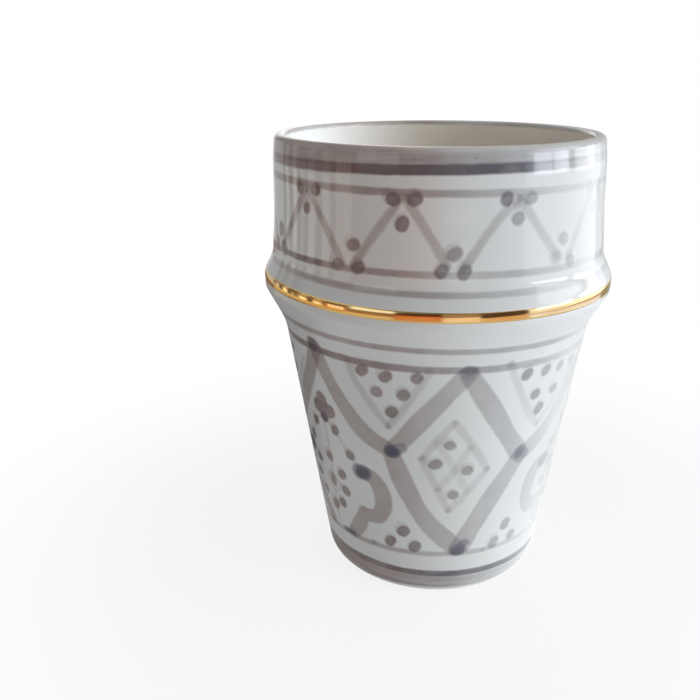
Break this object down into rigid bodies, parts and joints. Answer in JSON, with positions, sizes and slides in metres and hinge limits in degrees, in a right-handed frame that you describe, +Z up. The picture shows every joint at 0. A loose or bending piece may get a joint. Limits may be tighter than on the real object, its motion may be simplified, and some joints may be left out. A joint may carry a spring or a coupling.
{
  "type": "ceramic cup",
  "caption": "Tall tapered handleless ceramic cup with a flared collar below a straight mouth, glazed white with hand-painted grey ornament and a gold collar band, for hot drinks.",
  "frame": {"origin": "centre of the foot, on the plane the cup stands on", "axes": "+Z up along the axis the cup was turned about; the cup is round, so +X and +Y are any two directions square to it, with -Y towards the side in the picture"},
  "size_m": [0.084, 0.084, 0.11],
  "materials": {
    "clay": "matte",
    "glaze": "gloss",
    "gold": "polished"
  },
  "bodies": {
    "root": {"clay_body": "clay", "glaze_coat": "glaze", "gold_band": "gold"}
  },
  "joints": []
}
